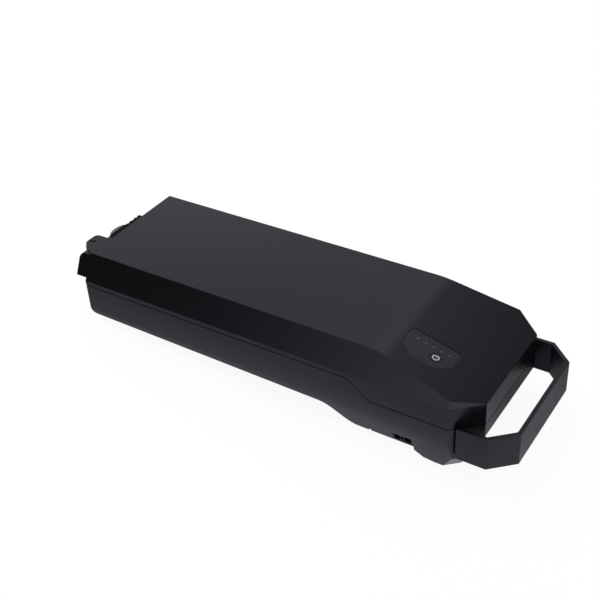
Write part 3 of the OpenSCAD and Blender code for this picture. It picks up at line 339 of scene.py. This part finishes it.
edgeRadii = {
    "top_cover": ("coverShell", 0.28, 3),
    "lower_case": ("caseShell", 0.28, 2),
    "carry_handle": ("handleBand", 0.5, 3),
    "front_coupling": ("couplingShell", 0.6, 3),
    "contact_block": ("contactComb", 0.15, 2),
    "plug_hood": ("hoodLedge", 0.5, 3),
    "slide_rails": ("slideRunners", 0.6, 2),
    "latch_insert": ("latchFrame", 0.2, 2),
    "latch_strike": ("strikePlate", 0.15, 2),
    "indicator_overlay": ("panelSkin", 0.12, 2),
}
for nodeName, (newName, width, segments) in edgeRadii.items():
    roundedCopy(nodeName, newName, width, segments)
roundedCopy("power_button", "buttonCap", 0.35, 3, body="button")
print("visible shells rounded:", len(edgeRadii) + 1)


# Cells and capacitors as turned profiles


def nodePoints(nodeName):
    mesh = nodes[nodeName].data
    flat = np.empty(len(mesh.vertices) * 3)
    mesh.vertices.foreach_get("co", flat)
    return flat.reshape(-1, 3)


# lowest and highest corner of each solid of a node: corners that share an edge take the lower label
def solidBoxes(nodeName):
    mesh = nodes[nodeName].data
    points, merged = np.unique(np.round(nodePoints(nodeName), 6), axis=0, return_inverse=True)
    flat = np.empty(len(mesh.edges) * 2, dtype=np.int64)
    mesh.edges.foreach_get("vertices", flat)
    edges = merged.reshape(-1)[flat].reshape(-1, 2)
    labels = np.arange(len(points))
    while True:
        low = np.minimum(labels[edges[:, 0]], labels[edges[:, 1]])
        before = labels.copy()
        np.minimum.at(labels, edges[:, 0], low)
        np.minimum.at(labels, edges[:, 1], low)
        if (labels == before).all():
            break
    return [(points[labels == k].min(0), points[labels == k].max(0)) for k in np.unique(labels)]


def meshObject(name, points, faces, finish, body="pack"):
    mesh = bpy.data.meshes.new(name)
    mesh.from_pydata(np.asarray(points).tolist(), [], faces)
    mesh.update()
    mesh.shade_smooth()
    mesh.set_sharp_from_angle(angle=math.radians(38))
    obj = bpy.data.objects.new(name, mesh)
    bpy.context.scene.collection.objects.link(obj)
    dress(obj, finish)
    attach(obj, body)
    return obj


def joinParts(parts):
    points, faces, base = [], [], 0
    for p, f in parts:
        points.append(p)
        faces += [[k + base for k in face] for face in f]
        base += len(p)
    return np.vstack(points), faces


# turned surface: point(i, a) = start + axis * t_i + r_i * (u cos a + v sin a), a from 0 to 2 pi;
# profile rows are (t, r)
def turned(start, axis, profile, around=40):
    profile = np.asarray(profile, dtype=float)
    axis = np.asarray(axis, dtype=float)
    u = np.roll(np.abs(axis), 1)
    v = np.cross(axis, u)
    a = np.linspace(0, 2 * np.pi, around, endpoint=False)
    ring = np.cos(a)[:, None] * u + np.sin(a)[:, None] * v
    points = np.asarray(start) + profile[:, :1, None] * axis + profile[:, 1:, None] * ring
    i, j = np.meshgrid(np.arange(len(profile) - 1), np.arange(around), indexing="ij")
    quads = np.stack([i * around + j, i * around + (j + 1) % around,
                      (i + 1) * around + (j + 1) % around, (i + 1) * around + j], -1)
    return points.reshape(-1, 3), quads.reshape(-1, 4).tolist()


# quarter turn of a rounded corner as profile rows: centre + r * (cos, sin)
def corner(t, r, radius, fromDegrees, toDegrees, steps=5):
    a = np.radians(np.linspace(fromDegrees, toDegrees, steps))
    return [(t + radius * x, r + radius * y) for x, y in zip(np.cos(a), np.sin(a))]


# in mm: shoulder radius, folded sleeve end, metal below it, crimp groove, raised button end
cellSettings = {
    "shoulder": 0.7, "fold": 2.2, "sink": 0.25, "lip": 0.02, "groove": 4.2, "grooveW": 1.1, "grooveD": 0.45,
    "foot": 3.2, "footEdge": 0.2, "button": 3.1, "buttonEdge": 0.3, "buttonDrop": 1.0, "buttonRim": 1.0,
    "rimRise": 0.1, "metalAround": 28,
}


# each cell: a sleeve with its folded ends and crimp groove, and the metal ends inside them
def makeCells(s):
    sleeves, metal = [], []
    boxes = solidBoxes("battery_cells")
    columns = sorted({round(float(lo[1] + hi[1]) / 2, 4) for lo, hi in boxes})
    for lo, hi in boxes:
        radius = (hi[1] - lo[1]) / 2 / mm
        length = (hi[0] - lo[0]) / mm
        y, z = (lo[1] + hi[1]) / 2, (lo[2] + hi[2]) / 2
        forward = columns.index(round(float(y), 4)) % 2 == 0
        axis = (1.0, 0.0, 0.0) if forward else (-1.0, 0.0, 0.0)
        start = np.array((lo[0] if forward else hi[0], y, z))
        top = length - s["buttonDrop"]
        shoulder = s["shoulder"]
        rim = radius - s["fold"]
        g, w, d = top - s["groove"], s["grooveW"], s["grooveD"]
        flank = radius - d * 0.7
        groove = [(g - w, radius), (g - w / 2, flank), (g, radius - d), (g + w / 2, flank), (g + w, radius)]
        sleeve = ([(s["sink"], rim), (s["lip"], rim - s["lip"])]
                  + corner(shoulder, radius - shoulder, shoulder, 180, 90)
                  + groove
                  + corner(top - shoulder, radius - shoulder, shoulder, 90, 0)
                  + [(top, rim), (top - s["sink"], rim)])
        foot = [(0.0, 0.0), (0.0, s["foot"] - s["footEdge"]), (s["sink"], s["foot"]), (s["sink"], rim)]
        cap = [(top - s["sink"], rim), (top - s["sink"], s["button"] + s["buttonRim"]),
               (top - s["rimRise"], s["button"] + s["rimRise"]), (length - s["buttonEdge"], s["button"]),
               (length, s["button"] - s["buttonEdge"]), (length, 0.0)]
        sleeves.append(turned(start, axis, np.array(sleeve) * mm))
        metal.append(turned(start, axis, np.array(foot) * mm, s["metalAround"]))
        metal.append(turned(start, axis, np.array(cap) * mm, s["metalAround"]))
    cans = meshObject("cellSleeves", *joinParts(sleeves), "cell")
    ends = meshObject("cellEnds", *joinParts(metal), "nickel")
    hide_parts("battery_cells")


makeCells(cellSettings)

# in mm: crimp above the foot, rounded edges, folded sleeve end, sunk top
capacitorSettings = {"groove": 1.6, "grooveW": 0.5, "grooveD": 0.35, "edge": 0.45, "fold": 0.9, "sink": 0.15}


# each capacitor: a sleeve with a crimp near its foot, and a bare can top
def makeCapacitors(s):
    sleeves, tops = [], []
    up = (0.0, 0.0, 1.0)
    for lo, hi in solidBoxes("bms_capacitors"):
        radius = (hi[0] - lo[0]) / 2 / mm
        height = (hi[2] - lo[2]) / mm
        start = np.array(((lo[0] + hi[0]) / 2, (lo[1] + hi[1]) / 2, lo[2]))
        g, w, edge = s["groove"], s["grooveW"], s["edge"]
        rim = radius - s["fold"]
        sleeve = ([(0.0, 0.0), (0.0, radius - edge)] + corner(edge, radius - edge, edge, 180, 90)
                  + [(g - w, radius), (g, radius - s["grooveD"]), (g + w, radius)]
                  + corner(height - edge, radius - edge, edge, 90, 0)
                  + [(height, rim), (height - s["sink"], rim)])
        top = [(height - s["sink"], rim), (height - s["sink"], 0.0)]
        sleeves.append(turned(start, up, np.array(sleeve) * mm))
        tops.append(turned(start, up, np.array(top) * mm))
    body = meshObject("capacitorSleeves", *joinParts(sleeves), "capacitor")
    cans = meshObject("capacitorTops", *joinParts(tops), "can")
    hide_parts("bms_capacitors")


makeCapacitors(capacitorSettings)
print("cells and capacitors turned")

# The panel's prints

slopeOut = np.array((0.262109, 0.0, 0.965038))
slopeAlong = np.array((0.965038, 0.0, -0.262109))
slopeAcross = np.array((0.0, 1.0, 0.0))


# raised print: point(t, s) = path(t) + side(t) * w/2 * cos(pi s) + out * h * sin(pi s), t and s from 0 to 1,
# side = out x tangent; its first and last rings are its end caps
def raisedPrint(path, out, width, height, rings=7):
    following = np.vstack([path[1:], 2 * path[-1] - path[-2]])
    before = np.vstack([2 * path[0] - path[1], path[:-1]])
    tangent = following - before
    tangent /= np.linalg.norm(tangent, axis=1)[:, None]
    side = np.cross(out, tangent)
    s = np.linspace(0, 1, rings)
    across = width / 2 * np.cos(np.pi * s)
    rise = height * np.sin(np.pi * s)
    points = path[:, None] + side[:, None] * across[:, None] + out * rise[:, None]
    n = len(path)
    i, j = np.meshgrid(np.arange(n - 1), np.arange(rings), indexing="ij")
    quads = np.stack([i * rings + j, i * rings + (j + 1) % rings,
                      (i + 1) * rings + (j + 1) % rings, (i + 1) * rings + j], -1).reshape(-1, 4).tolist()
    caps = [list(range(rings))[::-1], [(n - 1) * rings + k for k in range(rings)]]
    return points.reshape(-1, 3), quads + caps


powerSign = {
    "radius": 2.35, "width": 1.05, "height": 0.05, "gapDegrees": 56, "barFrom": 0.5, "barTo": 2.9,  # in mm
    "arcPoints": 61, "barPoints": 6, "faceDepth": 0.02,
}


# open circle and a bar on the cap's face; circle point = centre + r (cos a * along + sin a * across)
def makePowerSign(s):
    points = nodePoints("power_button")
    heights = points @ slopeOut
    face = points[heights > heights.max() - s["faceDepth"] * mm]
    centre = (face.min(0) + face.max(0)) / 2
    half = math.radians(s["gapDegrees"] / 2)
    a = np.linspace(math.pi / 2 + half, 2.5 * math.pi - half, s["arcPoints"])[:, None]
    arc = centre + s["radius"] * mm * (np.cos(a) * slopeAlong + np.sin(a) * slopeAcross)
    bar = centre + np.linspace(s["barFrom"], s["barTo"], s["barPoints"])[:, None] * mm * slopeAcross
    parts = [raisedPrint(path, slopeOut, s["width"] * mm, s["height"] * mm) for path in (arc, bar)]
    sign = meshObject("powerSign", *joinParts(parts), "ringPrint", "button")


makePowerSign(powerSign)
print("panel prints made")

# Floor, light tent and camera


def stageMaterial(name):
    mat = bpy.data.materials.new(name)
    mat.use_nodes = True
    tree = mat.node_tree
    tree.nodes.clear()
    return mat, tree, tree.nodes.new("ShaderNodeOutputMaterial")


def stageObject(name, points, faces, mat):
    mesh = bpy.data.meshes.new(name)
    mesh.from_pydata(points.tolist(), [], faces)
    mesh.materials.append(mat)
    obj = bpy.data.objects.new(name, mesh)
    bpy.context.scene.collection.objects.link(obj)
    return obj


floorSettings = {
    "size": 2.4, "footX": 139.3, "drop": 0.06475, "under": 0.00005, "colour": 0.93,
    "seenGlow": 0.925, "seenColour": 0.14,  # for the camera: white with a faint shadow
    "mirroredGlow": 0.3, "mirroredColour": 0.42,  # in reflections: pale with the full shadow
    # and a painted pool of light: brighter in a strip beside the case, more so towards the rear
    "poolGlow": 0.42, "poolY": -0.055, "poolWidth": 0.04,
    "rise": 3.0, "middle": 1.24, "least": 0.5, "most": 1.4,
    "fadeFrom": 0.045, "fadeTo": 0.12, "faded": 0.1,  # and painted shade behind it
    "gapShift": 0.09, "gapX": 0.188, "gapWidth": 0.009,  # the painted shade reaches sooner inside the handle
    "mirroredTint": (0.96, 0.995, 1.08, 1.0),
}


# a bell round a middle value: exp(-((value - middle) / width)^2)
def bell(tree, value, middle, width):
    away = mathNode(tree, "DIVIDE", mathNode(tree, "SUBTRACT", value, middle), width)
    square = mathNode(tree, "MULTIPLY", away, away)
    return mathNode(tree, "EXPONENT", mathNode(tree, "MULTIPLY", square, -1.0))


# painted light and shade on the floor, seen only in reflections: a painted pool of light beside the case and
# painted shade behind it and inside the handle
# mirrored glow = fade(y + gapShift * bell(x)) * (mirroredGlow + poolGlow * bell(y))
#     * (middle + rise * x, kept between least and most)
def mirroredGlow(tree, s):
    spot = addNode(tree, "ShaderNodeSeparateXYZ", {0: objectPoint(tree)})
    x, y = spot.outputs["X"], spot.outputs["Y"]
    pool = bell(tree, y, s["poolY"], s["poolWidth"])
    strip = mathNode(tree, "MULTIPLY_ADD", pool, s["poolGlow"], s["mirroredGlow"])
    along = mathNode(tree, "MULTIPLY_ADD", x, s["rise"], s["middle"])
    along = mathNode(tree, "MAXIMUM", mathNode(tree, "MINIMUM", along, s["most"]), s["least"])
    behind = mathNode(tree, "MULTIPLY_ADD", bell(tree, x, s["gapX"], s["gapWidth"]), s["gapShift"], y)
    fade = mapTo(tree, behind, 1.0, s["faded"], s["fadeFrom"], s["fadeTo"])
    return mathNode(tree, "MULTIPLY", mathNode(tree, "MULTIPLY", fade, strip), along)


# flat square through the feet and the front ends of the rails, so it leans against the level deck
def makeFloor(s):
    half = s["size"] / 2
    corners = np.array([(-half, -half), (half, -half), (half, half), (-half, half)])
    z = -(corners[:, 0] - s["footX"] * mm) * s["drop"] - s["under"]
    mat, tree, out = stageMaterial("paleFloor")
    path = addNode(tree, "ShaderNodeLightPath")
    seen = path.outputs["Is Camera Ray"]
    mirrored = mathNode(tree, "MAXIMUM", path.outputs["Is Glossy Ray"], path.outputs["Is Transmission Ray"])
    glow = mathNode(tree, "ADD", mathNode(tree, "MULTIPLY", seen, s["seenGlow"]),
                    mathNode(tree, "MULTIPLY", mirrored, mirroredGlow(tree, s)))
    darker = mathNode(tree, "ADD", mathNode(tree, "MULTIPLY", seen, s["colour"] - s["seenColour"]),
                      mathNode(tree, "MULTIPLY", mirrored, s["colour"] - s["mirroredColour"]))
    tone = mathNode(tree, "SUBTRACT", s["colour"], darker)
    plain = addNode(tree, "ShaderNodeBsdfDiffuse", {"Color": tone})
    light = addNode(tree, "ShaderNodeEmission",
                    {"Color": mixColour(tree, seen, s["mirroredTint"], grey(1.0)), "Strength": glow})
    both = addNode(tree, "ShaderNodeAddShader", {0: plain.outputs[0], 1: light.outputs[0]})
    tree.links.new(both.outputs[0], out.inputs["Surface"])
    stageObject("floor", np.column_stack([corners, z]), [(0, 1, 2, 3)], mat)


makeFloor(floorSettings)

# soft patches of light on a dark tent: elevation, azimuth (degrees), sharpness, brightness
tentSettings = {
    "radius": 3.6, "lowest": -10, "topRing": 88, "around": 64, "up": 24, "base": 0.01,
    "tint": (0.975, 0.995, 1.04, 1.0),
    "patches": [
        (3, -104, 80, 2.1), (5, -35, 40, 1.8), (14, -104, 80, 1.2),
        (8, 172, 25, 1.32), (30, 172, 25, 0.37), (52, 172, 25, 0.8), (30, 150, 25, 0.45),
        (8, 128, 25, 1.72), (30, 128, 25, 0.15), (8, 106, 25, 0.77), (52, 106, 25, 1.47),
        (10, -30, 18, 1.2), (64, -150, 18, 1.3), (88, 0, 18, 1.8),
    ],
}


# dome: point = radius * (cos az cos el, sin az cos el, sin el), az all round, el from the lowest to
# the top ring; its brightness = base + sum of brightness * exp(sharpness * (direction . patch - 1))
def makeTent(s):
    around, up = s["around"], s["up"]
    az = np.linspace(0, 2 * np.pi, around, endpoint=False)
    el = np.radians(np.linspace(s["lowest"], s["topRing"], up))
    azGrid, elGrid = np.meshgrid(az, el)
    directions = np.stack([np.cos(azGrid) * np.cos(elGrid), np.sin(azGrid) * np.cos(elGrid),
                           np.sin(elGrid)], -1)
    points = s["radius"] * np.vstack([directions.reshape(-1, 3), [[0, 0, 1]]])
    i, j = np.meshgrid(np.arange(up - 1), np.arange(around), indexing="ij")
    following = (j + 1) % around
    quads = np.stack([i * around + j, (i + 1) * around + j,
                      (i + 1) * around + following, i * around + following], -1)
    top = [((up - 1) * around + k, up * around, (up - 1) * around + (k + 1) % around) for k in range(around)]
    mat, tree, out = stageMaterial("tentCloth")
    direction = addNode(tree, "ShaderNodeVectorMath", {0: objectPoint(tree)},
                        operation="NORMALIZE").outputs[0]
    total = s["base"]
    for elevation, azimuth, sharpness, brightness in s["patches"]:
        e, a = math.radians(elevation), math.radians(azimuth)
        inputs = {0: direction, 1: (math.cos(a) * math.cos(e), math.sin(a) * math.cos(e), math.sin(e))}
        dot = addNode(tree, "ShaderNodeVectorMath", inputs, operation="DOT_PRODUCT").outputs["Value"]
        part = mathNode(tree, "EXPONENT", mathNode(tree, "MULTIPLY_ADD", dot, sharpness, -sharpness))
        total = mathNode(tree, "MULTIPLY_ADD", part, brightness, total)
    glow = addNode(tree, "ShaderNodeEmission", {"Color": s["tint"], "Strength": total})
    tree.links.new(glow.outputs[0], out.inputs["Surface"])
    obj = stageObject("lightTent", points, quads.reshape(-1, 4).tolist() + top, mat)
    obj.visible_camera = False
    obj.visible_shadow = False


makeTent(tentSettings)


def makeWorld():
    world = bpy.data.worlds.new("studio")
    bpy.context.scene.world = world
    world.use_nodes = True
    tree = world.node_tree
    tree.nodes.clear()
    out = tree.nodes.new("ShaderNodeOutputWorld")
    glow = addNode(tree, "ShaderNodeBackground", {"Color": grey(1.0), "Strength": 1.0})
    tree.links.new(glow.outputs[0], out.inputs["Surface"])


makeWorld()

# solved from the photo's edges; the place is in mm of the drawing
cameraSettings = {
    "azimuth": 34.643, "elevation": 35.669, "roll": -3.795, "at": (216.28, -579.36, 503.83),
    "lens": 64.403, "sensor": 36.0, "nearest": 0.01,
}


# back points at the camera, right lies level, and right and up are then rolled round back
def makeCamera(s):
    a, e, r = (math.radians(s[k]) for k in ("azimuth", "elevation", "roll"))
    back = Vector((math.sin(a) * math.cos(e), -math.cos(a) * math.cos(e), math.sin(e)))
    right = Vector((math.cos(a), math.sin(a), 0.0))
    up = back.cross(right)
    axes = [math.cos(r) * right + math.sin(r) * up, -math.sin(r) * right + math.cos(r) * up, back]
    data = bpy.data.cameras.new("photoCamera")
    data.lens = s["lens"]
    data.sensor_width = s["sensor"]
    data.clip_start = s["nearest"]
    obj = bpy.data.objects.new("photoCamera", data)
    bpy.context.scene.collection.objects.link(obj)
    rotation = Matrix(axes).transposed().to_4x4()
    obj.matrix_world = Matrix.Translation(place(*s["at"])) @ rotation
    bpy.context.scene.camera = obj


makeCamera(cameraSettings)
bpy.context.scene.view_settings.view_transform = "Standard"
print("stage and camera ready")
